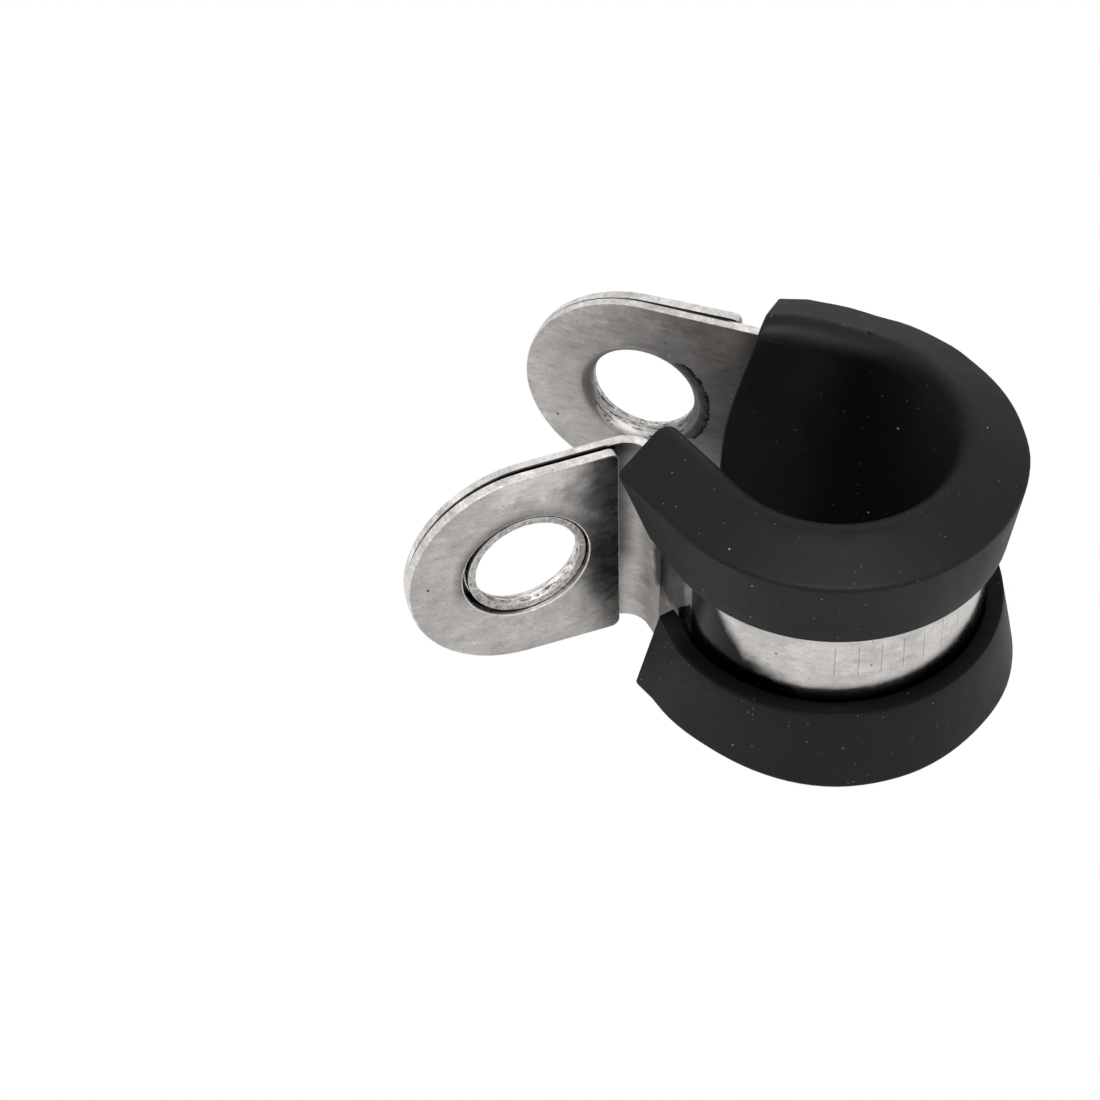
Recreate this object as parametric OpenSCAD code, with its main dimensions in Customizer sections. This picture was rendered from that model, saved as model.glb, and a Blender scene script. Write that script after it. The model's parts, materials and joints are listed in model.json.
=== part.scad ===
// Lined P-clip: a bent metal strip with a rubber channel round its loop and a stiffening plate on each ear.
// The loop's bore runs along Z through the origin, and the ears point towards minus X.

/* [Loop] */
// Diameter of the pipe or cable that the loop holds
bore_diameter = 11; // [8:0.5:16]
// Place round the loop where the rear leg leaves it, in degrees from the X axis
rear_leg_angle = 76; // [70:1:82]
// Place round the loop where the front leg leaves it, in degrees the other way from the X axis
front_leg_angle = 150; // [142:1:154]

/* [Strap] */
// Width of the metal strip
strap_width = 12; // [10:0.5:14]
// Thickness of the metal strip
strap_thickness = 0.5; // [0.4:0.05:0.7]
// Bare run of the front leg, from the liner's longer edge to the bend
front_bare_length = 0.8; // [0.5:0.05:3]
// Inside radius of the bend between the front leg and its ear
front_bend_radius = 1.25; // [0.8:0.05:2]
// Turn of that bend, in degrees
front_bend_angle = 86; // [75:0.5:90]

/* [Ear holes] */
// Diameter of the screw hole through each ear
hole_diameter = 5.3; // [4.3:0.1:6.4]
// Wall of the collar that is drawn out of the strip round each hole
collar_wall = 0.4; // [0.25:0.05:0.6]
// Radius of the funnel where the strip turns into the collar
funnel_radius = 0.7; // [0.3:0.05:0.8]

/* [Ear plates] */
// Thickness of the stiffening plates
plate_thickness = 0.5; // [0.4:0.05:1]
// From the middle of the hole to a plate's straight edge
plate_edge_distance = 4.8; // [4:0.05:6]
// Radius of the two corners of that edge
plate_corner_radius = 0.45; // [0.2:0.05:1.5]
// Gap between the front plate's straight edge and the bend
front_plate_gap = 0.02; // [0.02:0.02:2]
// Gap between the rear plate's straight edge and the liner's end
rear_plate_gap = 0.12; // [0.02:0.02:3]
// Room between the collar and the plate's hole
plate_hole_clearance = 0.2; // [0.05:0.05:0.3]

/* [Liner] */
// Rubber between the pipe and the strap
liner_wall = 1.65; // [1.2:0.05:2.5]
// Rubber above the strap's edge, at the outer crease
edge_cover = 0.85; // [0.5:0.05:1.5]
// Slope of the top face, from the bore down to the crease, in degrees
top_slope = 25; // [10:1:30]
// Thickness of the lip on the outside of the strap, at the crease
lip_root = 1.6; // [1.1:0.05:2]
// Thickness of the lip at its free edge
lip_tip = 0.9; // [0.5:0.05:1.1]
// How far the lip reaches over the strap from its edge
lip_reach = 3.45; // [2.5:0.05:4]
// Drop of the lip's free edge towards the strap
lip_edge_drop = 0.1; // [0.05:0.05:0.5]
// Rounding between the bore and the top face
bore_edge_radius = 1; // [0.5:0.05:1.2]
// Rounding of the outer crease
crease_radius = 0.3; // [0.1:0.05:0.5]
// Length of liner along the rear leg, at mid-width
rear_liner_length = 6.35; // [4:0.05:10]
// Length of liner along the front leg, at mid-width
front_liner_length = 2.5; // [1.8:0.1:4]
// Slant of the liner's ends, in degrees
end_slant = 6.5; // [0:0.5:8]
// Room between the strap and its slot in the liner
slot_clearance = 0.05; // [0.02:0.01:0.1]

/* [Hidden] */
$fn = 96;

steel_colour = [0.70, 0.69, 0.66];
plate_colour = [0.64, 0.63, 0.60];
rubber_colour = [0.09, 0.09, 0.09];

// A straight lies this far inside the tangent to the bend that it leaves, so that the two faces cross
tangent_bite = 0.001;
// Degrees by which a bend runs on into the straight that follows it
bend_overrun = 4;
// Length over which the two halves of the front leg, from the loop and from the bend, lie in each other
leg_lap = 0.4;
// How far cutting shapes stand out past what they cut
cut_margin = 1;
// Straight pieces of each rounded corner of the liner's section
round_steps = 6;
// How much further shapes that are trimmed later stand out on a straight than round a bend
straight_spread = 1.25;
// Share of a funnel's radius that it reaches down, so that it meets the ear's face at an angle
funnel_share = 0.95;
// How far the rounding of the bore's edge is raised over the top face, so that it runs out through that face
edge_lift = 0.01;

bore_radius = bore_diameter / 2;
strap_inner_radius = bore_radius + liner_wall;
strap_outer_radius = strap_inner_radius + strap_thickness;
leg_inner_face = strap_inner_radius - tangent_bite;
bend_axis = leg_inner_face + strap_thickness + front_bend_radius - tangent_bite;
half_width = strap_width / 2;
// How near to its axis a swept section is filled in before the inside is cut away
loop_core = bore_radius / 2;
bend_core = front_bend_radius / 2;

hole_radius = hole_diameter / 2;
collar_radius = hole_radius + collar_wall;
collar_length = strap_thickness + plate_thickness;
funnel_depth = funnel_share * funnel_radius;

crease_point = [strap_outer_radius + lip_root, half_width + edge_cover];
top_rise = tan(top_slope);
bore_corner = [bore_radius, crease_point.y + (crease_point.x - bore_radius) * top_rise];
lip_outer_point = [strap_outer_radius + lip_tip, half_width - lip_reach];
lip_inner_point = [strap_outer_radius + slot_clearance, lip_outer_point.y - lip_edge_drop];
slot_inner_radius = strap_inner_radius - slot_clearance;
slot_height = half_width + slot_clearance;
slant_shift = bore_corner.y * tan(end_slant);

// Straight runs from the loop to the middle of the rear hole, and from the loop to the front bend
rear_leg_length = rear_liner_length + half_width * tan(end_slant) + rear_plate_gap + plate_edge_distance;
front_leg_length = front_liner_length + slant_shift + front_bare_length;
// Flat run of the front ear, from the bend to the middle of its hole
front_ear_length = front_plate_gap + plate_edge_distance;

// Unit vector from one point towards another
function heading(from, to) = (to - from) / norm(to - from);

// Points of the arc that rounds the corner between two neighbouring points
function rounded(before, corner, after, radius) =
    let (to_before = heading(corner, before))
    let (to_after = heading(corner, after))
    let (half_angle = acos(to_before * to_after) / 2)
    let (centre = corner + radius / sin(half_angle) * heading([0, 0], to_before + to_after))
    let (first = corner + radius / tan(half_angle) * to_before - centre)
    let (last = corner + radius / tan(half_angle) * to_after - centre)
    let (start = atan2(first.y, first.x))
    let (turn = (atan2(last.y, last.x) - start + 540) % 360 - 180)
    [for (i = [0:round_steps]) centre + radius * [for (a = [0, 90]) cos(start + turn * i / round_steps - a)]];

// Closes the upper half of an outline with its mirror image below
function both_halves(half) =
    concat(half, [for (i = [len(half) - 1:-1:0]) if (half[i].y > 0) [half[i].x, -half[i].y]]);

// Frames of the two legs: X points out of the loop, Y runs along the leg away from it
module rear_side() { rotate(rear_leg_angle) children(); }
module front_side() { mirror([0, 1, 0]) rotate(front_leg_angle) children(); }

// Sweeps a section that is filled in to $start round the loop and along both legs
module along_loop(rear_run, front_run, start) {
    rotate_extrude(start = -front_leg_angle - bend_overrun,
                   angle = front_leg_angle + rear_leg_angle + 2 * bend_overrun)
        let ($start = start, $spread = 1) children();
    rear_side() straight_run(rear_run, start) children();
    front_side() straight_run(front_run, start) children();
}

// Sweeps a section that is filled in to $start along the end of the front leg, round its bend and along the ear
module along_bend(lead, run, start) {
    translate([bend_axis, front_leg_length, 0]) {
        rotate_extrude(start = 180 - front_bend_angle - bend_overrun, angle = front_bend_angle + 2 * bend_overrun)
            let ($start = start, $spread = 1) children();
        rotate(180) straight_run(lead, start) children();
    }
    past_bend()
        translate([bend_axis, front_leg_length, 0])
            mirror([1, 0, 0])
                straight_run(run, start)
                    children();
}

// Carries a section straight on from the end of a bend, where it stands out further than round the bend
module straight_run(run, start) {
    translate([-tangent_bite, run, 0])
        rotate([90, 0, 0])
            linear_extrude(run)
                let ($start = straight_spread * start, $spread = straight_spread) children();
}

// Takes what would lie straight on along the front leg round its bend
module past_bend() {
    translate([bend_axis, front_leg_length, 0])
        rotate(-front_bend_angle)
            translate([-bend_axis, -front_leg_length, 0])
                children();
}

// Frame of an ear hole: Z runs out through the ear from its inner face, Y towards the ear's round end
module at_rear_hole() {
    rear_side() translate([leg_inner_face, rear_leg_length, 0]) rotate([0, 90, 0]) children();
}
module at_front_hole() {
    front_side()
        past_bend()
            translate([leg_inner_face, front_leg_length + front_ear_length, 0])
                rotate([0, 90, 0])
                    children();
}

// Section that is filled in from a face of the strap to $start and stands out past the strap's edges
module strip_section(radius, margin) {
    overhang = margin * $spread;
    translate([$start, -half_width - overhang]) square([radius - $start, strap_width + 2 * overhang]);
}

// Keeps what lies within a height, half above and half below the middle
module within_height(height) {
    span = 4 * (strap_outer_radius + rear_leg_length + strap_width);
    intersection() {
        children();
        cube([span, span, height], center = true);
    }
}

// The bent strip with square ends and no holes, wider than it will be
module plain_strip() {
    rear_run = rear_leg_length + half_width + cut_margin;
    ear_run = front_ear_length + half_width + cut_margin;
    difference() {
        along_loop(rear_run, front_leg_length - leg_lap, loop_core) strip_section(strap_outer_radius, cut_margin);
        along_loop(rear_run + cut_margin, front_leg_length, loop_core / 2)
            strip_section(strap_inner_radius, 2 * cut_margin);
    }
    front_side()
        difference() {
            along_bend(2 * leg_lap, ear_run, bend_core)
                strip_section(front_bend_radius + strap_thickness, cut_margin);
            along_bend(3 * leg_lap, ear_run + cut_margin, bend_core / 2)
                strip_section(front_bend_radius, 2 * cut_margin);
        }
}

// What is cut away to round an ear's end
module ear_end_cut() {
    cut_width = strap_width + 2 * cut_margin;
    translate([0, 0, -cut_margin])
        linear_extrude(strap_thickness + 2 * cut_margin)
            difference() {
                translate([-cut_width / 2, 0]) square([cut_width, cut_width]);
                circle(r = half_width + tangent_bite);
            }
}

// Collar round an ear hole, drawn out of the strip
module collar() {
    translate([0, 0, strap_thickness / 2])
        cylinder(r = collar_radius, h = collar_length - strap_thickness / 2);
}

// Screw hole with a rounded way in from the ear's inner face
module hole_cut() {
    rotate_extrude() {
        translate([0, -cut_margin]) square([hole_radius, collar_length + 2 * cut_margin]);
        difference() {
            translate([0, -cut_margin]) square([hole_radius + funnel_radius, funnel_depth + cut_margin]);
            translate([hole_radius + funnel_radius, funnel_depth]) circle(r = funnel_radius);
        }
    }
}

module strap_band() {
    color(steel_colour)
        difference() {
            union() {
                difference() {
                    within_height(strap_width) plain_strip();
                    at_rear_hole() ear_end_cut();
                    at_front_hole() ear_end_cut();
                }
                at_rear_hole() collar();
                at_front_hole() collar();
            }
            at_rear_hole() hole_cut();
            at_front_hole() hole_cut();
        }
}

// Half-round plate with a straight edge towards the loop
module plate_outline() {
    corner_x = half_width - plate_corner_radius;
    corner_y = plate_corner_radius - plate_edge_distance;
    intersection() {
        circle(d = strap_width);
        translate([-half_width, 0]) square([strap_width, half_width]);
    }
    translate([-half_width, corner_y]) square([strap_width, -corner_y]);
    translate([-corner_x, -plate_edge_distance]) square([2 * corner_x, plate_corner_radius]);
    for (side = [-1, 1])
        translate([side * corner_x, corner_y]) circle(r = plate_corner_radius);
}

module ear_plate() {
    color(plate_colour)
        translate([0, 0, strap_thickness])
            linear_extrude(plate_thickness)
                difference() {
                    plate_outline();
                    circle(r = collar_radius + plate_hole_clearance);
                }
}

module front_plate() { at_front_hole() ear_plate(); }
module rear_plate() { at_rear_hole() ear_plate(); }

// Liner's outer form
module liner_body_section() {
    side_slope = (crease_point.x - lip_outer_point.x) / (crease_point.y - lip_outer_point.y);
    side_foot = [lip_outer_point.x - lip_outer_point.y * side_slope, 0];
    crease = rounded(side_foot, crease_point, bore_corner, crease_radius);
    polygon(both_halves(concat([side_foot], crease, [bore_corner, [$start, bore_corner.y]])));
}

// Space for the pipe, widening over the rounded edge of the bore
module bore_section() {
    lift = [0, edge_lift];
    bore_edge = rounded([bore_radius, 0], bore_corner + lift, crease_point + lift, bore_edge_radius);
    edge_end = bore_edge[round_steps];
    top = bore_corner.y + cut_margin;
    polygon(both_halves(concat(bore_edge, [[edge_end.x, top], [$start, top]])));
}

// Space for the strap, taller than it will be, with the gap between the two lips
module channel_section() {
    top = slot_height + cut_margin;
    reach = crease_point.x + cut_margin;
    edge_slope = (lip_outer_point.y - lip_inner_point.y) / (lip_outer_point.x - lip_inner_point.x);
    gap_end = [reach, lip_outer_point.y + (reach - lip_outer_point.x) * edge_slope];
    polygon(both_halves([gap_end, lip_inner_point, [lip_inner_point.x, top], [$start, top]]));
}

// What is cut away beyond a slanted end of the liner
module liner_end_cut(length, slant) {
    depth = 2 * slant_shift + 2 * cut_margin;
    height = 2 * (bore_corner.y + cut_margin);
    inner = bore_radius - cut_margin;
    translate([inner, length, 0])
        rotate([-slant, 0, 0])
            translate([0, 0, -height / 2])
                cube([crease_point.x + cut_margin - inner, depth, height]);
}

module rubber_liner() {
    rear_run = rear_liner_length + slant_shift;
    front_run = front_liner_length + slant_shift;
    color(rubber_colour)
        difference() {
            along_loop(rear_run, front_run, loop_core) liner_body_section();
            along_loop(rear_run + cut_margin, front_run + cut_margin, loop_core / 2) bore_section();
            within_height(2 * slot_height)
                difference() {
                    along_loop(rear_run + cut_margin, front_run + cut_margin, loop_core) channel_section();
                    along_loop(rear_run + 2 * cut_margin, front_run + 2 * cut_margin, loop_core / 2)
                        strip_section(slot_inner_radius, 2 * cut_margin);
                }
            rear_side() liner_end_cut(rear_liner_length, -end_slant);
            front_side() liner_end_cut(front_liner_length, end_slant);
        }
}

strap_band();
front_plate();
rear_plate();
rubber_liner();
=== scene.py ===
import json
import math

import bmesh
import bpy
from mathutils import Matrix, Vector


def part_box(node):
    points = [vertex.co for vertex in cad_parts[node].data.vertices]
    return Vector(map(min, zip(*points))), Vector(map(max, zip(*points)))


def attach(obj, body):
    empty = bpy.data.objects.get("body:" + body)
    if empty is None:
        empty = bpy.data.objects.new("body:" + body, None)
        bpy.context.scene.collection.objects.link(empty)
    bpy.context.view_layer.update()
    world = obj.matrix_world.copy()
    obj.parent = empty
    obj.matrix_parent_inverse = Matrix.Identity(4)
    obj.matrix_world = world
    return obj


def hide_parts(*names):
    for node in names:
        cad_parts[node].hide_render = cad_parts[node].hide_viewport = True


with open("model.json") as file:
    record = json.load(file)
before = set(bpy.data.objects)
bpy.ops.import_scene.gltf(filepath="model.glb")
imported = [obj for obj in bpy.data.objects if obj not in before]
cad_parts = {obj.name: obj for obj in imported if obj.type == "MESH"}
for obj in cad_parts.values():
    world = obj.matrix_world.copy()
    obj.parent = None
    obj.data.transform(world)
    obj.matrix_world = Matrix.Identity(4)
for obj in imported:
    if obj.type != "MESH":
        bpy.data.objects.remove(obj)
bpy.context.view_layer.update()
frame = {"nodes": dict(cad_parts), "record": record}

MM = 0.001
UP = Vector((0.0, 0.0, 1.0))
nodes = frame["nodes"]
mounts = {mount["name"]: mount for mount in frame["record"]["mounts"]}
scene = bpy.context.scene
scene.view_settings.view_transform = "Standard"
floor_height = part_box("rubber_liner")[0][2]


class Ear:
    """Directions and places on one ear, in millimetres, from the mount of its hole."""

    def __init__(self, mount):
        dims = mount["dims"]
        self.axis = Vector(mount["axis"])
        level = UP.cross(self.axis)
        self.outward = level if level.x < 0.0 else -level
        self.hole_radius = dims["r_mm"]
        # Middle of the collar's end, which is level with the plate's outer face
        self.middle = Vector(mount["pos_m"]) / MM + self.axis * dims["length_mm"] / 2.0

    def place(self, point):
        """A point as its run along the ear from the hole, its height, and how far out it is."""
        offset = point - self.middle
        return offset.dot(self.outward), offset.z, offset.dot(self.axis)


front_ear = Ear(mounts["front_ear_hole"])
rear_ear = Ear(mounts["rear_ear_hole"])
ears = (front_ear, rear_ear)

# Sizes of the pieces, in millimetres and degrees
BORE_RADIUS = mounts["pipe_bore"]["dims"]["r_mm"]
# Round the loop, the radius of the liner's slot, of the strap's middle and of the strap's outer face
SLOT_RADIUS = BORE_RADIUS + 1.6
STRAP_MIDDLE = SLOT_RADIUS + 0.3
STRAP_OUTER = STRAP_MIDDLE + 0.25
# On an ear, how far out the strap's outer face is, the collar's radius,
# and the run of the plate's straight edge
STRAP_FACE = -0.5
COLLAR_RADIUS = front_ear.hole_radius + 0.4
PLATE_EDGE = -4.8
# Where the loop's two legs start, in degrees round from the side away from the ears
FRONT_ANGLE = 150.0
REAR_ANGLE = math.degrees(math.atan2(rear_ear.axis.y, rear_ear.axis.x))
FRONT_SIDE, REAR_SIDE = -1.0, 1.0


def leg_axes(degrees, side):
    """Directions out from the loop and on along a leg that starts at an angle, on one side."""
    angle = math.radians(degrees)
    out = Vector((math.cos(angle), side * math.sin(angle)))
    on = Vector((-math.sin(angle), side * math.cos(angle)))
    return out, on


FRONT_OUT, FRONT_ON = leg_axes(FRONT_ANGLE, FRONT_SIDE)
REAR_OUT, REAR_ON = leg_axes(REAR_ANGLE, REAR_SIDE)


class Net:
    """Adds and links shader nodes."""

    def __init__(self, tree):
        self.tree = tree

    def put(self, node, socket, value):
        target = node.inputs[socket]
        if isinstance(value, bpy.types.NodeSocket):
            self.tree.links.new(value, target)
        else:
            target.default_value = value

    def add(self, kind, **inputs):
        node = self.tree.nodes.new("ShaderNode" + kind)
        for socket, value in inputs.items():
            self.put(node, socket, value)
        return node

    def work_out(self, operation, first, second=0.0):
        node = self.add("Math")
        node.operation = operation
        self.put(node, 0, first)
        self.put(node, 1, second)
        return node.outputs[0]

    def total(self, first, *others):
        for other in others:
            first = self.work_out("ADD", first, other)
        return first

    def product(self, first, *others):
        for other in others:
            first = self.work_out("MULTIPLY", first, other)
        return first

    def minus(self, first, second):
        return self.work_out("SUBTRACT", first, second)

    def larger(self, first, second):
        return self.work_out("MAXIMUM", first, second)

    def above(self, value, limit):
        """1 where a value is above a limit, or else 0."""
        return self.work_out("GREATER_THAN", value, limit)

    def below(self, value, limit):
        """1 where a value is below a limit, or else 0."""
        return self.work_out("LESS_THAN", value, limit)

    def length(self, first, second):
        squares = self.total(self.product(first, first), self.product(second, second))
        return self.work_out("SQRT", squares)

    def ramp(self, value, low, high, out_low=0.0, out_high=1.0, smooth=False):
        """Carries a value from one range to another, and keeps it in that."""
        ranges = {"From Min": low, "From Max": high, "To Min": out_low, "To Max": out_high}
        node = self.add("MapRange", Value=value, **ranges)
        node.interpolation_type = "SMOOTHSTEP" if smooth else "LINEAR"
        return node.outputs["Result"]

    def window(self, value, low, high, soft):
        """1 between two values, falling to 0 within a soft margin outside them."""
        rise = self.ramp(value, low - soft, low, smooth=True)
        fall = self.ramp(value, high, high + soft, 1.0, 0.0, smooth=True)
        return self.product(rise, fall)

    def shade(self, value, mask, level):
        """Multiplies a value by a level where a mask is 1. A level over 1 makes it brighter."""
        return self.product(value, self.ramp(mask, 0.0, 1.0, 1.0, level))

    def mix(self, factor, first, second):
        """A colour between two. The colours' sockets go by number, since other sockets share their names."""
        node = self.add("Mix")
        node.data_type = "RGBA"
        self.put(node, 0, factor)
        for socket, colour in ((6, first), (7, second)):
            linked = isinstance(colour, bpy.types.NodeSocket)
            self.put(node, socket, colour if linked else (*colour, 1.0))
        return node.outputs[2]

    def noise(self, vector, scale, detail, rough):
        node = self.add("TexNoise", Vector=vector, Scale=scale, Detail=detail, Roughness=rough)
        return node.outputs[0]

    def sway(self, noise, amount, spread=0.2):
        """Turns a noise, which spreads about a half, into a value from minus to plus an amount."""
        return self.ramp(noise, 0.5 - spread, 0.5 + spread, -amount, amount)

    def cells(self, vector, scale):
        """Distance to the nearest of some scattered points, and two chance values of that point."""
        node = self.add("TexVoronoi", Vector=vector, Scale=scale)
        chances = self.add("SeparateColor", Color=node.outputs["Color"]).outputs
        return node.outputs["Distance"], chances[0], chances[1]

    def stretched(self, vector, scale):
        return self.add("Mapping", Vector=vector, Scale=scale).outputs[0]

    def place_mm(self):
        """The place on the object, in millimetres."""
        node = self.add("VectorMath")
        node.operation = "SCALE"
        self.put(node, 0, self.add("TexCoord").outputs["Object"])
        self.put(node, "Scale", 1.0 / MM)
        return node.outputs[0]

    def along(self, vector, direction, offset=0.0):
        node = self.add("VectorMath")
        node.operation = "DOT_PRODUCT"
        self.put(node, 0, vector)
        self.put(node, 1, direction)
        return self.minus(node.outputs["Value"], offset)

    def facing(self, direction):
        """1 where the surface faces a direction, down to -1 where it faces away."""
        return self.along(self.add("NewGeometry").outputs["Normal"], direction)

    def ear_place(self, place, ear):
        """Run along the ear from the hole, height, distance from the hole's axis, and how far out."""
        run = self.along(place, ear.outward, ear.outward.dot(ear.middle))
        height = self.along(place, UP)
        out = self.along(place, ear.axis, ear.axis.dot(ear.middle))
        return run, height, self.length(run, height), out

    def hole_side(self, run, height, radius, side):
        """1 on one side of an ear's hole, down to -1 on the other."""
        reach = self.total(self.product(run, side[0]), self.product(height, side[1]))
        return self.work_out("DIVIDE", reach, radius)


BLACK = (0.0, 0.0, 0.0)
WHITE = (1.0, 1.0, 1.0)
WARM_WHITE = (1.0, 0.965, 0.935)
NOT_DULL = 0.0


def material(name):
    finish = bpy.data.materials.new(name)
    finish.use_nodes = True
    return finish, Net(finish.node_tree), finish.node_tree.nodes["Principled BSDF"]


def specks(net, place, scale, radius, share):
    """Spots of mixed size and strength in some of the cells of a scattered grid."""
    smallest, soft, faintest = 0.3, 0.25, 0.35
    widest = radius * scale
    near, chance, size = net.cells(place, scale)
    reach = net.ramp(size, 0.0, 1.0, smallest * widest, widest)
    spot = net.ramp(net.minus(reach, near), 0.0, soft * widest)
    return net.product(spot, net.below(chance, share), net.ramp(size, 0.0, 1.0, faintest, 1.0))


def hole_marks(net, place, value, ear):
    """Torn lines round the wall of an ear's hole, a grainy collar end and painted shade under the plate."""
    run, height, radius, out = net.ear_place(place, ear)

    line_density = 7.0
    lines = net.add("CombineXYZ", X=run, Y=height, Z=net.product(out, line_density)).outputs[0]
    torn = net.ramp(net.noise(lines, scale=1.2, detail=6.0, rough=0.7), 0.41, 0.49, 0.10, 1.45)
    # The lines reach further out from the hole on its lower side
    reach = net.ramp(height, -2.6, -1.0, 0.45, 0.06)
    near_hole = net.below(net.minus(radius, reach), ear.hole_radius)
    value = net.shade(value, net.product(near_hole, net.window(out, -1.3, -0.02, 0.02)), torn)

    collar_end = net.product(net.window(radius, 0.0, COLLAR_RADIUS + 0.15, 0.05), net.above(out, -0.3))
    grain = net.ramp(net.noise(place, scale=5.0, detail=5.0, rough=0.75), 0.35, 0.65, 0.30, 1.05)
    value = net.shade(value, collar_end, grain)

    # Painted shade on the strap's outer face under the plate, so the gap between them looks dark
    outer_face = net.window(out, STRAP_FACE - 0.18, STRAP_FACE + 0.05, 0.01)
    under_plate = net.product(net.above(run, PLATE_EDGE + 0.1), net.above(radius, COLLAR_RADIUS + 0.05))
    return net.shade(value, net.product(outer_face, under_plate), 0.03)


def rear_funnel(net, place, value):
    """The rear ear with a painted dark reflection towards the loop, painted shade in the funnel round its
    hole, and a crescent of painted dark reflection on it, edged by a torn line of painted shade.

    Also gives where the funnel is, because it is dull.
    """
    run, height, radius, out = net.ear_place(place, rear_ear)
    sheet = net.window(out, -1.3, -0.35, 0.05)
    # Painted dark reflection, stronger towards the loop
    value = net.shade(value, net.product(sheet, net.ramp(run, -5.0, 2.5, 1.0, 0.0)), 0.6)

    # A crescent of painted dark reflection on the loop's side of the hole, edged by a torn line of painted
    # shade
    loop_side = net.hole_side(run, height, radius, (-0.99, 0.12))
    arc = net.ramp(loop_side, 0.55, 0.76, smooth=True)
    crescent = net.product(sheet, arc)
    torn = net.sway(net.noise(place, scale=3.5, detail=4.0, rough=0.7), 0.14)
    widest = 0.55
    rim = net.total(COLLAR_RADIUS, net.product(arc, widest), torn)
    inside = net.minus(rim, radius)
    hollow = net.product(crescent, net.ramp(inside, 0.0, 0.05))
    value = net.shade(value, hollow, net.ramp(inside, 0.0, 0.7, 0.28, 0.75))
    value = net.shade(value, net.product(crescent, net.window(inside, 0.0, 0.08, 0.03)), 0.08)

    # Painted shade in the funnel round the hole
    bowl = net.product(sheet, net.ramp(radius, 2.75, 3.5, 1.0, 0.0, smooth=True))
    return net.shade(value, bowl, 0.55), bowl


def bend_start(net, place):
    """1 at the start of the front leg's bend, beside the plate's straight edge and on the side seen there.
    It marks where painted shade goes, for the dark gap behind the plate's edge.
    """
    run, height, _, out = net.ear_place(place, front_ear)
    outer_side = net.ramp(net.facing(front_ear.axis), 0.0, 0.3)
    start = net.ramp(out, STRAP_FACE - 0.05, STRAP_FACE + 0.5, 1.0, 0.0, smooth=True)
    front = net.above(out, STRAP_FACE - 0.25)
    beside_plate = net.window(run, PLATE_EDGE - 1.8, PLATE_EDGE + 0.2, 0.3)
    return net.product(outer_side, start, front, beside_plate, net.ramp(height, -3.4, -1.0, smooth=True))


def leg_painted_light(net, place, value):
    """Painted dark reflection on the front leg, and a bend beside it with a painted highlight,
    and painted shade at its start and its top.

    Also gives where the bend is, because it is dull.
    """
    run = net.along(place, (*FRONT_ON, 0.0))
    front = net.ramp(net.along(place, (*FRONT_OUT, 0.0)), 2.5, 3.5)
    height = net.along(place, UP)

    uneven = net.sway(net.noise(place, scale=1.6, detail=4.0, rough=0.6), 0.35)
    lengthwise = net.window(net.total(run, net.product(uneven, 0.5)), 0.6, 3.4, 0.5)
    upper_part = net.ramp(net.total(height, uneven), -2.5, -1.7, smooth=True)
    # Painted dark reflection on the leg, near the liner
    value = net.shade(value, net.product(front, lengthwise, upper_part), 0.22)

    bend = net.product(front, net.window(run, 3.2, 5.6, 0.3))
    top = net.product(bend, net.ramp(height, 4.6, 5.7, smooth=True))
    # A painted highlight on the bend, painted shade at its start and a painted shadow at its top
    for mask, level in ((bend, 1.25), (bend_start(net, place), 0.25), (top, 0.35)):
        value = net.shade(value, mask, level)
    return value, bend


def band_marks(net, place, value):
    """A painted dark reflection along the band's lower edge, deeper at its two ends,
    and a row of short ticks, each drawn with painted shade and a painted highlight.
    """
    across = net.along(place, (1.0, 0.0, 0.0))
    ahead = net.along(place, (0.0, -1.0, 0.0))
    height = net.along(place, UP)
    # Degrees round the loop from its front
    turn = net.product(net.work_out("ARCTAN2", across, ahead), 180.0 / math.pi)
    outer_face = net.window(net.length(across, ahead), STRAP_OUTER - 0.25, STRAP_OUTER + 0.35, 0.1)
    band = net.product(net.window(turn, -57.0, 85.0, 0.6), outer_face)

    # Painted dark reflection of the lower lip, up to an edge whose height changes round the band
    usual_edge = -1.95
    edge = net.total(
        usual_edge,
        net.ramp(turn, -30.0, -8.0, 1.3, 0.0),
        net.ramp(turn, -46.0, -30.0, 2.7, 0.0),
        net.ramp(turn, 25.0, 64.0, 0.0, 0.85),
        net.ramp(turn, 68.0, 82.0, 0.0, 3.0),
        net.sway(net.noise(place, scale=1.6, detail=4.0, rough=0.6), 0.15),
    )
    painted_reflection_depth = net.ramp(net.minus(edge, height), -0.9, 0.6, smooth=True)
    value = net.shade(value, net.product(band, painted_reflection_depth), 0.01)

    # Each tick is a line of painted shade beside a thinner line of painted highlight
    tick_step = 8.5
    step = net.work_out("FRACT", net.product(turn, 1.0 / tick_step))
    row = net.product(band, net.window(turn, 1.0, 62.0, 0.1), net.window(height, -0.7, 1.1, 0.15))
    value = net.shade(value, net.product(row, net.window(step, 0.46, 0.51, 0.02)), 0.72)
    return net.shade(value, net.product(row, net.window(step, 0.535, 0.555, 0.01)), 1.18)


def strap_marks(net, place, value):
    value, bowl = rear_funnel(net, place, value)
    for ear in ears:
        value = hole_marks(net, place, value, ear)
    value = band_marks(net, place, value)
    # Painted dark reflection, highlight and shade on the front leg and its bend
    value, bend = leg_painted_light(net, place, value)
    return value, net.larger(bend, bowl)


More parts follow.
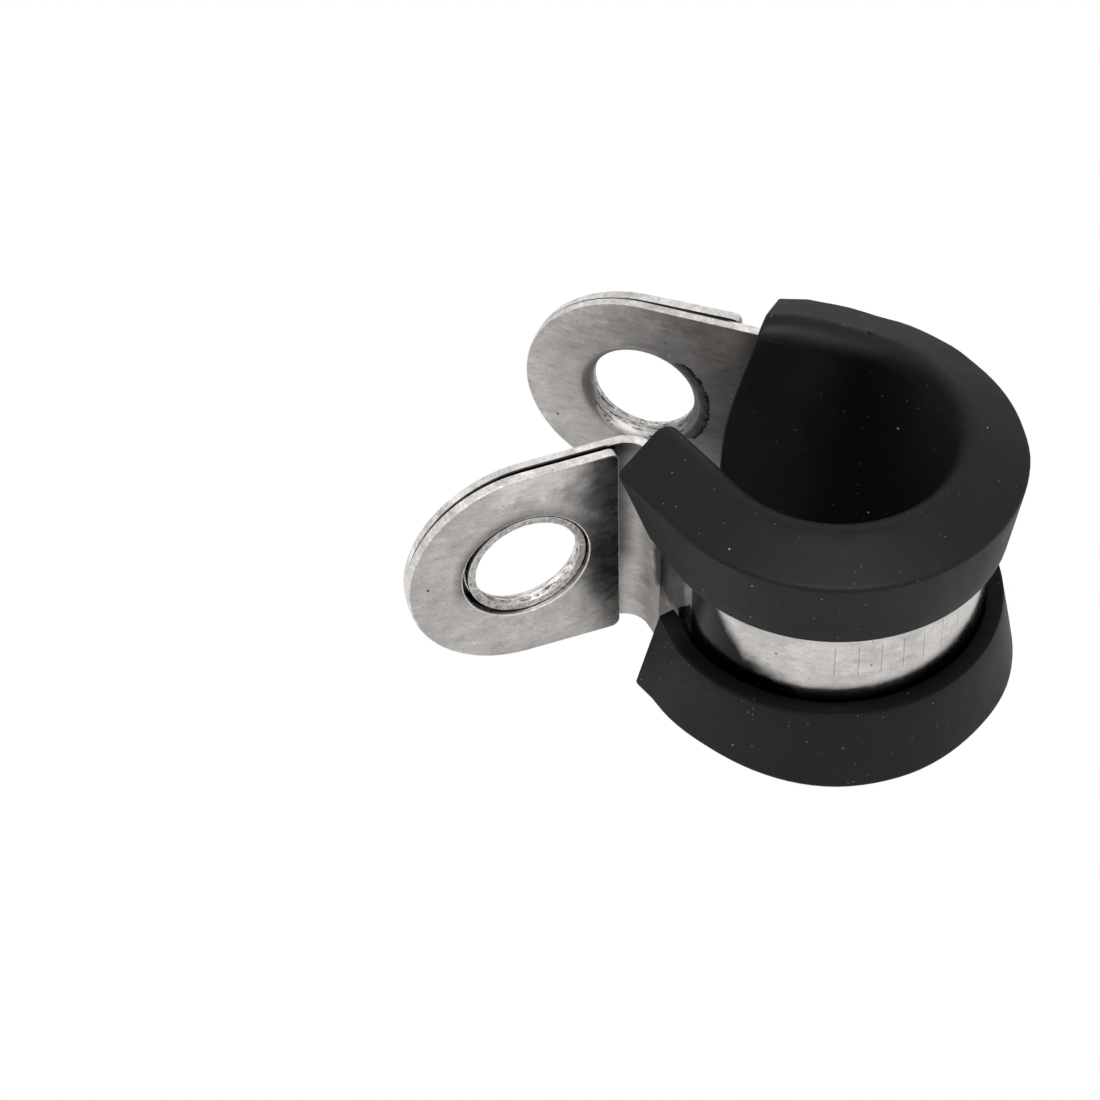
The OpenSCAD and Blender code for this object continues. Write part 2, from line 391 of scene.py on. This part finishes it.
def plate_marks(net, place, value):
    """On the front plate, a painted dark reflection by its straight edge and at two sides of its hole,
    and a painted highlight along its upper edge.
    """
    run, height, radius, out = net.ear_place(place, front_ear)
    front = net.window(out, -0.7, 0.6, 0.1)
    blot = net.sway(net.noise(place, scale=0.9, detail=3.0, rough=0.5), 0.4)

    # Painted dark reflection by the straight edge, mostly on the upper part
    near_edge = net.ramp(net.total(run, blot), -3.8, -1.5, 1.0, 0.0, smooth=True)
    upper_part = net.ramp(height, -4.5, -1.5, 0.25, 1.0, smooth=True)
    value = net.shade(value, net.product(front, near_edge, upper_part), 0.23)

    # Painted highlight along the upper edge
    upper_edge = net.ramp(net.total(height, blot), 4.2, 5.1, smooth=True)
    value = net.shade(value, net.product(front, net.window(run, -2.6, 1.2, 1.2), upper_edge), 1.4)

    # Painted dark reflection at two sides of the hole
    ring = net.product(front, net.window(radius, 3.0, 3.4, 0.7))
    for side, level in (((0.8, 0.6), 0.4), ((-0.8, 0.6), 0.65)):
        part = net.ramp(net.hole_side(run, height, radius, side), 0.35, 0.8, smooth=True)
        value = net.shade(value, net.product(ring, part), level)
    return value, NOT_DULL


def seam_shade(net, place, value):
    """Painted shade on the edges, in the seam between each ear of the strap and its plate."""
    for ear in ears:
        run, _, _, out = net.ear_place(place, ear)
        seam = net.window(out, STRAP_FACE - 0.09, STRAP_FACE + 0.09, 0.03)
        value = net.shade(value, net.product(seam, net.ramp(run, PLATE_EDGE + 0.2, PLATE_EDGE + 0.6)), 0.06)
    return value, NOT_DULL


def steel(name, tone, roughness, marks, grain=1.0):
    """Worn brushed steel. Its brush lines run level, along the strip."""
    finish, net, shader = material(name)
    place = net.place_mm()
    streak = net.noise(net.stretched(place, (0.5, 0.5, 11.0)), scale=1.0, detail=4.0, rough=0.65)
    cloud = net.noise(place, scale=0.45, detail=4.0, rough=0.6)
    smear = net.noise(net.stretched(place, (0.9, 0.9, 2.2)), scale=1.3, detail=5.0, rough=0.7)
    fleck = net.noise(place, scale=7.0, detail=4.0, rough=0.7)
    scuffed = net.noise(net.stretched(place, (1.0, 1.0, 1.4)), scale=0.55, detail=3.0, rough=0.6)
    scratch = net.noise(net.stretched(place, (1.4, 1.4, 4.0)), scale=2.2, detail=5.0, rough=0.75)
    scuff = net.product(net.ramp(scuffed, 0.50, 0.62), net.ramp(scratch, 0.42, 0.68))
    mottle = net.total(
        1.0,
        net.sway(streak, 0.04 * grain),
        net.sway(cloud, 0.10, spread=0.15),
        net.sway(smear, 0.12 * grain, spread=0.15),
        net.sway(fleck, 0.10 * grain),
        net.product(scuff, 0.40),
    )
    large_pits = specks(net, place, scale=2.2, radius=0.10, share=0.06)
    small_pits = specks(net, place, scale=4.5, radius=0.045, share=0.10)
    pits = net.larger(large_pits, small_pits)
    value = net.shade(net.product(mottle, tone), pits, 0.25)
    glints = specks(net, net.stretched(place, (1.0, 1.0, 0.55)), scale=2.0, radius=0.09, share=0.10)
    value = net.total(value, net.product(glints, 0.25 * tone))
    value, dull = marks(net, place, value)
    net.put(shader, "Base Color", net.mix(value, BLACK, WARM_WHITE))
    shader.inputs["Metallic"].default_value = 1.0
    uneven = net.ramp(smear, 0.3, 0.7, -0.03, 0.06)
    rougher = (net.product(pits, 0.3), net.product(scuff, 0.12), net.product(dull, 0.4))
    net.put(shader, "Roughness", net.total(roughness, uneven, *rougher))
    relief = (net.product(streak, 0.8 * grain), net.product(fleck, 0.6 * grain), net.product(pits, -3.0))
    bump = net.add("Bump", Strength=0.20, Distance=0.01 * MM, Height=net.total(*relief))
    net.put(shader, "Normal", bump.outputs[0])
    return finish


def rubber(name):
    """Matt black rubber with pale dust, and painted shade in the bore and on top of the lower lip."""
    usual, cloudy, deep = (0.0042, 0.0040, 0.0040), (0.0066, 0.0063, 0.0063), (0.0026, 0.0025, 0.0025)
    dust_colour = (0.42, 0.40, 0.38)
    finish, net, shader = material(name)
    place = net.place_mm()
    cloud = net.noise(place, scale=0.5, detail=4.0, rough=0.6)
    grain = net.noise(place, scale=9.0, detail=3.0, rough=0.6)
    fine_dust = net.product(specks(net, place, scale=3.4, radius=0.045, share=0.22), 0.45)
    dust = net.larger(fine_dust, specks(net, place, scale=1.7, radius=0.07, share=0.09))
    radius = net.length(net.along(place, (1.0, 0.0, 0.0)), net.along(place, (0.0, 1.0, 0.0)))
    # Painted shade: a deeper colour and a lower specular level in the bore and on top of the lower lip
    bore = net.ramp(radius, BORE_RADIUS + 0.2, BORE_RADIUS + 1.0, 1.0, 0.0, smooth=True)
    lip = net.product(net.ramp(net.facing(UP), 0.25, 0.7), net.below(net.along(place, UP), -1.0))
    dark = net.larger(bore, lip)
    base = net.mix(dark, net.mix(net.ramp(cloud, 0.3, 0.7), usual, cloudy), deep)
    net.put(shader, "Base Color", net.mix(dust, base, dust_colour))
    net.put(shader, "Roughness", net.ramp(cloud, 0.3, 0.7, 0.48, 0.58))
    net.put(shader, "Specular IOR Level", net.ramp(dark, 0.0, 1.0, 0.17, 0.07))
    bump = net.add("Bump", Strength=0.25, Distance=0.02 * MM, Height=grain)
    net.put(shader, "Normal", bump.outputs[0])
    return finish


def plain_dark(name):
    """Black painted shade, on faces that show only through a gap."""
    finish, _, shader = material(name)
    shader.inputs["Base Color"].default_value = (0.006, 0.006, 0.006, 1.0)
    shader.inputs["Roughness"].default_value = 0.8
    return finish


strap_steel = steel("strap_steel", tone=0.53, roughness=0.14, marks=strap_marks)
plate_steel = steel("plate_steel", tone=0.42, roughness=0.26, marks=plate_marks)
# Black painted shade for the plates' backs, which show only through the gap
gap_shade = plain_dark("gap_shade")
worn_edge = steel("worn_edge", tone=0.66, roughness=0.36, marks=seam_shade, grain=1.9)
liner_rubber = rubber("liner_rubber")

# Finishes of a piece, by number: its faces, its edges, and a plate's side towards the strap
FACE, EDGE, BACK = range(3)


def clean_form(node):
    """The surface of a CAD node, with its points joined and its flat faces whole."""
    form = bmesh.new()
    form.from_mesh(nodes[node].data)
    bmesh.ops.remove_doubles(form, verts=form.verts, dist=0.004 * MM)
    bmesh.ops.dissolve_limit(form, angle_limit=math.radians(0.5), verts=form.verts, edges=form.edges)
    bmesh.ops.recalc_face_normals(form, faces=form.faces)
    return form


def round_edges(form, width, steps, finish):
    """Rounds the sharp outer edges, and gives them a finish."""
    sharp = math.radians(35.0)
    picked = []
    for edge in form.edges:
        if edge.is_manifold and edge.is_convex and edge.calc_face_angle() > sharp:
            picked.append(edge)
    bmesh.ops.bevel(form, geom=picked, offset=width, offset_type="OFFSET", segments=steps, profile=0.5,
                    affect="EDGES", clamp_overlap=False, loop_slide=True, material=finish)


def wear_edges(form):
    """Gives the sheared edges of a metal piece the worn finish, along the strip and round its ears."""
    least_height, least_radius, most_out = 3.8, 4.5, 1.5
    for face in form.faces:
        middle = face.calc_center_median() / MM
        worn = abs(face.normal.z) > 0.7 and abs(middle.z) > least_height
        for ear in ears:
            run, height, out = ear.place(middle)
            on_end = run > 0.0 and math.hypot(run, height) > least_radius and abs(out) < most_out
            worn = worn or (on_end and abs(face.normal.dot(ear.axis)) < 0.5)
        if worn:
            face.material_index = EDGE


def show(form, node, slot, *finishes):
    """Puts a finished surface in place of its CAD node."""
    name = node + "_looks"
    mesh = bpy.data.meshes.new(name)
    form.to_mesh(mesh)
    form.free()
    for finish in finishes:
        mesh.materials.append(finish)
    mesh.shade_smooth()
    mesh.set_sharp_from_angle(angle=math.radians(32.0))
    piece = bpy.data.objects.new(name, mesh)
    scene.collection.objects.link(piece)
    piece.modifiers.new("normals", "WEIGHTED_NORMAL").keep_sharp = True
    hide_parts(node)
    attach(piece, "root")


# Strap, with its worn edges
strap = clean_form("strap_band")
round_edges(strap, 0.04 * MM, 2, EDGE)
wear_edges(strap)
show(strap, "strap_band", "strap_steel", strap_steel, worn_edge)


# Plates, which stand a little off the strap
def stand_off(form, ear, gap, degrees, rise, slide, spin):
    """Turns a plate on its collar, lifts it off the strap, tips it about its round end and shifts it."""
    middle = ear.middle * MM
    swing = Matrix.Translation(middle) @ Matrix.Rotation(math.radians(spin), 4, ear.axis)
    bmesh.ops.transform(form, matrix=swing @ Matrix.Translation(-middle), verts=form.verts)
    foot = min(ear.axis.dot(vert.co) for vert in form.verts)
    end = max(ear.outward.dot(vert.co) for vert in form.verts)
    pivot = ear.axis * foot + ear.outward * end
    turn = Matrix.Rotation(math.radians(degrees), 4, ear.axis.cross(ear.outward))
    lift = Matrix.Translation(pivot + (ear.axis * gap + UP * rise + ear.outward * slide) * MM)
    bmesh.ops.transform(form, matrix=lift @ turn @ Matrix.Translation(-pivot), verts=form.verts)


def add_plate(node, ear, gap, degrees, rise, slide, spin):
    plate = clean_form(node)
    stand_off(plate, ear, gap, degrees, rise, slide, spin)
    round_edges(plate, 0.06 * MM, 2, EDGE)
    wear_edges(plate)
    # The plate's back, towards the strap, gets the black painted shade
    for face in plate.faces:
        if face.normal.dot(ear.axis) < -0.9:
            face.material_index = BACK
    show(plate, node, "plate_steel", plate_steel, worn_edge, gap_shade)


add_plate("front_plate", front_ear, gap=0.12, degrees=1.1, rise=0.12, slide=0.13, spin=0.8)
add_plate("rear_plate", rear_ear, gap=0.04, degrees=1.6, rise=-0.17, slide=0.0, spin=0.0)

# Liner, a soft piece whose flanges spread and whose ends bow a little
# Its lengths and shifts are read off curves, each a few pairs of a place and a value
# By height, the degrees at which the front end leaves the loop, and how much longer it is
FRONT_LEAVES = ((-6.8, 147.0), (-2.6, 148.0), (2.6, 146.5), (6.8, 138.5))
FRONT_LONGER = ((-6.8, 0.1), (-2.6, -0.95), (2.6, -0.5), (6.8, 0.2), (8.4, 0.35))
# How much the lower lip rises, by the run along the front leg, and the share of that by height
LIP_RISE = ((-1.5, 0.0), (2.3, 0.6))
LIP_SHARE = ((-5.5, 0.0), (-2.6, 1.0))
# How much longer the rear end is by height, and the share of that by radius and by the run along the leg
REAR_LONGER = ((-9.5, 0.0), (0.5, 0.82), (9.5, 0.0))
REAR_INNER_SHARE = ((SLOT_RADIUS, 1.0), (8.0, 0.0))
REAR_END_SHARE = ((3.5, 0.0), (5.5, 1.0))
# How far the upper and lower flanges stand out, by the distance along the liner from the front leg
UPPER_PUSH = (
    (-36.0, -0.35), (-34.8, -0.1), (-33.2, 0.3), (-31.5, 0.38), (-29.2, 0.2), (-26.5, 0.0),
    (-25.0, -0.12), (-21.5, -0.1), (-19.5, 0.0),
)
LOWER_PUSH = (
    (-18.0, 0.05), (-15.0, -0.05), (-11.0, 0.11), (-9.0, 0.13), (-3.2, -0.22), (0.3, 0.04), (1.7, 0.22),
)
# The share of that by the height above or below the middle
PUSH_SHARE = ((2.6, 0.0), (6.5, 1.0))
# Length of the front end at mid-height, and the slant of its end
FRONT_END = 2.5
END_SLANT = 6.5
# The slot's floor, which stays under the strap, lies within these of the slot's radius and of mid-height
SLOT_FLOOR_DEPTH = 0.2
SLOT_FLOOR_HEIGHT = 6.3
# What lies further out than this along a leg's own direction belongs to that leg
LEG_LEAST = 0.9 * BORE_RADIUS
LOOP_LENGTH = STRAP_MIDDLE * math.radians(FRONT_ANGLE + REAR_ANGLE)


def read_curve(curve, place):
    """Reads a value off a curve, which is smooth between its pairs and level past its ends."""
    if place <= curve[0][0]:
        return curve[0][1]
    for (start, low), (end, high) in zip(curve, curve[1:]):
        if place < end:
            part = (place - start) / (end - start)
            return low + (high - low) * part * part * (3.0 - 2.0 * part)
    return curve[-1][1]


def push_flanges(point):
    """Moves a point out from the loop, more the further it is above or below the middle."""
    flat = point.xy
    if flat.dot(REAR_ON) > 0.0 and flat.dot(REAR_OUT) > LEG_LEAST:
        out = REAR_OUT
        along = -LOOP_LENGTH - flat.dot(REAR_ON)
    elif flat.dot(FRONT_ON) > 0.0 and flat.dot(FRONT_OUT) > LEG_LEAST:
        out = FRONT_OUT
        along = flat.dot(FRONT_ON)
    else:
        out = flat.normalized()
        turn = math.atan2(flat.y, flat.x) + math.radians(FRONT_ANGLE)
        along = -STRAP_MIDDLE * (turn % (2.0 * math.pi))
    curve = UPPER_PUSH if point.z > 0.0 else LOWER_PUSH
    push = out * read_curve(PUSH_SHARE, abs(point.z)) * read_curve(curve, along)
    return point + Vector((push.x, push.y, 0.0))


def spread_front(point):
    """Turns a point of the front end out or in about the loop, by its height, and lifts the lower lip."""
    flat = point.xy
    radius, run = flat.dot(FRONT_OUT), flat.dot(FRONT_ON)
    if radius < LEG_LEAST:
        return point
    leaves = read_curve(FRONT_LEAVES, point.z)
    if abs(radius - SLOT_RADIUS) < SLOT_FLOOR_DEPTH and abs(point.z) < SLOT_FLOOR_HEIGHT:
        leaves = FRONT_ANGLE
    extra = STRAP_MIDDLE * math.radians(FRONT_ANGLE - leaves)
    if run > 0.0:
        end = FRONT_END + point.z * math.tan(math.radians(END_SLANT))
        travel = extra + run * (1.0 + read_curve(FRONT_LONGER, point.z) / end)
    else:
        travel = extra + STRAP_MIDDLE * math.atan2(run, radius)
        radius = flat.length
    if travel <= 0.0:
        return point
    out, on = leg_axes(leaves, FRONT_SIDE)
    moved = out * radius + on * travel
    rise = 0.0
    if radius > STRAP_OUTER and point.z < 0.0:
        rise = read_curve(LIP_RISE, run) * read_curve(LIP_SHARE, point.z)
    return Vector((moved.x, moved.y, point.z + rise))


def bow_rear(point):
    """Lengthens the inner wall of the rear leg at its end, most near mid-height."""
    radius, run = point.xy.dot(REAR_OUT), point.xy.dot(REAR_ON)
    if radius < LEG_LEAST or run < 0.0:
        return point
    share = read_curve(REAR_INNER_SHARE, radius) * read_curve(REAR_END_SHARE, run)
    push = REAR_ON * read_curve(REAR_LONGER, point.z) * share
    return point + Vector((push.x, push.y, 0.0))


def leg_faces(form, out, on, start=-math.inf):
    """The faces on a leg's side of the loop, past the start of a run along the leg."""
    picked = []
    for face in form.faces:
        middle = face.calc_center_median().xy / MM
        if middle.dot(out) > 0.0 and middle.dot(on) > start:
            picked.append(face)
    return picked


def add_row(form, faces, point, normal):
    """Adds a row of points where a plane cuts some faces."""
    parts = set(faces).union(*(face.edges for face in faces), *(face.verts for face in faces))
    bmesh.ops.bisect_plane(form, geom=list(parts), plane_co=point, plane_no=normal)


def split_large_faces(form):
    bmesh.ops.triangulate(form, faces=[face for face in form.faces if len(face.verts) > 4])


# Rows of points that let the liner bend: across each leg, how many there are and their step
LEG_ROWS = ((FRONT_OUT, FRONT_ON, 3, 0.5), (REAR_OUT, REAR_ON, 7, 0.7))
# Over the height of the rear end, which starts at a run along its leg, their numbers and their step
REAR_LEVELS, LEVEL_STEP = range(-8, 9), 0.75
REAR_END_START = 3.4

liner = clean_form("rubber_liner")
round_edges(liner, 0.12 * MM, 3, FACE)
for out, on, rows, step in LEG_ROWS:
    for row in range(rows):
        run = step * (row + 1)
        add_row(liner, leg_faces(liner, out, on), (*(on * run * MM), 0.0), (*on, 0.0))
split_large_faces(liner)
for level in REAR_LEVELS:
    rear_end = leg_faces(liner, REAR_OUT, REAR_ON, REAR_END_START)
    add_row(liner, rear_end, (0.0, 0.0, LEVEL_STEP * level * MM), UP)
split_large_faces(liner)
for vert in liner.verts:
    vert.co = spread_front(push_flanges(bow_rear(vert.co / MM))) * MM
show(liner, "rubber_liner", "liner_rubber", liner_rubber)


def floor_finish(name):
    """White to the camera, with a faint shadow at what it touches.

    In reflections it is lit, with the object's shadow on it and a painted shadow between the ears.
    """
    finish, net, shader = material(name)
    shader.inputs["Roughness"].default_value = 0.9
    shader.inputs["Specular IOR Level"].default_value = 0.0
    ground = net.place_mm()
    front_face = front_ear.axis.dot(front_ear.middle)
    # A painted shadow between the ears, behind the front ear, seen only in reflections
    behind = net.ramp(net.along(ground, front_ear.axis, front_face), 0.3, 2.2, 1.0, 0.0)
    mouth = net.ramp(net.along(ground, (0.6, -0.8, 0.0), -12.3), 1.5, 7.0, smooth=True)
    tone = net.ramp(net.product(behind, mouth), 0.0, 1.0, 0.90, 0.10)
    net.put(shader, "Base Color", net.mix(tone, BLACK, WHITE))
    contact = net.add("AmbientOcclusion", Distance=0.7 * MM)
    contact.samples = 3
    seen_tone = net.ramp(contact.outputs["AO"], 0.2, 0.9, 0.86, 1.0)
    seen = net.add("Emission", Strength=1.0, Color=net.mix(seen_tone, BLACK, WHITE))
    blend = net.add("MixShader")
    net.put(blend, 0, net.add("LightPath").outputs["Is Camera Ray"])
    net.put(blend, 1, shader.outputs[0])
    net.put(blend, 2, seen.outputs[0])
    net.put(finish.node_tree.nodes["Material Output"], "Surface", blend.outputs[0])
    return finish


# Floor
FLOOR_SIZE = 1.2
bpy.ops.mesh.primitive_plane_add(size=FLOOR_SIZE, location=(0, 0, floor_height))
floor = bpy.context.object
floor.name = "floor"
floor.data.materials.append(floor_finish("floor"))

# World: white to the camera and in reflections, and soft grey light for the rest
LOW_GLOW = (0.46, 0.46, 0.46)
HIGH_GLOW = (0.34, 0.34, 0.34)
world = bpy.data.worlds.new("studio")
scene.world = world
world.use_nodes = True
world_net = Net(world.node_tree)
back = world.node_tree.nodes["Background"]
path = world_net.add("LightPath").outputs
through = world_net.larger(path["Is Transmission Ray"], path["Is Glossy Ray"])
seen = world_net.larger(path["Is Camera Ray"], through)
direction = world_net.add("TexCoord").outputs["Generated"]
up = world_net.add("SeparateXYZ", Vector=direction).outputs[2]
glow = world_net.mix(world_net.ramp(up, -0.2, 1.0), LOW_GLOW, HIGH_GLOW)
world_net.put(back, "Color", world_net.mix(seen, glow, WHITE))
back.inputs["Strength"].default_value = 1.0

# Key light, which points at the origin
KEY_SIZE = 0.28
key_data = bpy.data.lights.new("key", "AREA")
key_data.shape = "RECTANGLE"
key_data.size = KEY_SIZE
key_data.size_y = KEY_SIZE
key_data.energy = 2.1
key = bpy.data.objects.new("key", key_data)
key.location = (0.03, -0.25, 0.40)
key.rotation_euler = (-key.location).to_track_quat("-Z", "Y").to_euler()
scene.collection.objects.link(key)

# Camera, which points by a yaw and a pitch, and stands in front at a reach, lifted by an angle
yaw = math.radians(-4.634)
pitch = math.radians(46.314)
lift = math.radians(46.207)
reach = 242.15 * MM
forward = Vector((math.sin(yaw) * math.cos(pitch), math.cos(yaw) * math.cos(pitch), -math.sin(pitch)))
right = Vector((math.cos(yaw), -math.sin(yaw), 0.0))
upward = right.cross(forward)
place = Vector((0.0, -math.cos(lift), math.sin(lift))) * reach
camera_data = bpy.data.cameras.new("camera")
camera_data.lens = 163.636
camera_data.sensor_width = 36.0
camera_data.clip_start = 0.01
camera_data.clip_end = 10.0
camera = bpy.data.objects.new("camera", camera_data)
camera.matrix_world = Matrix((
    (right.x, upward.x, -forward.x, place.x),
    (right.y, upward.y, -forward.y, place.y),
    (right.z, upward.z, -forward.z, place.z),
    (0.0, 0.0, 0.0, 1.0),
))
scene.collection.objects.link(camera)
scene.camera = camera
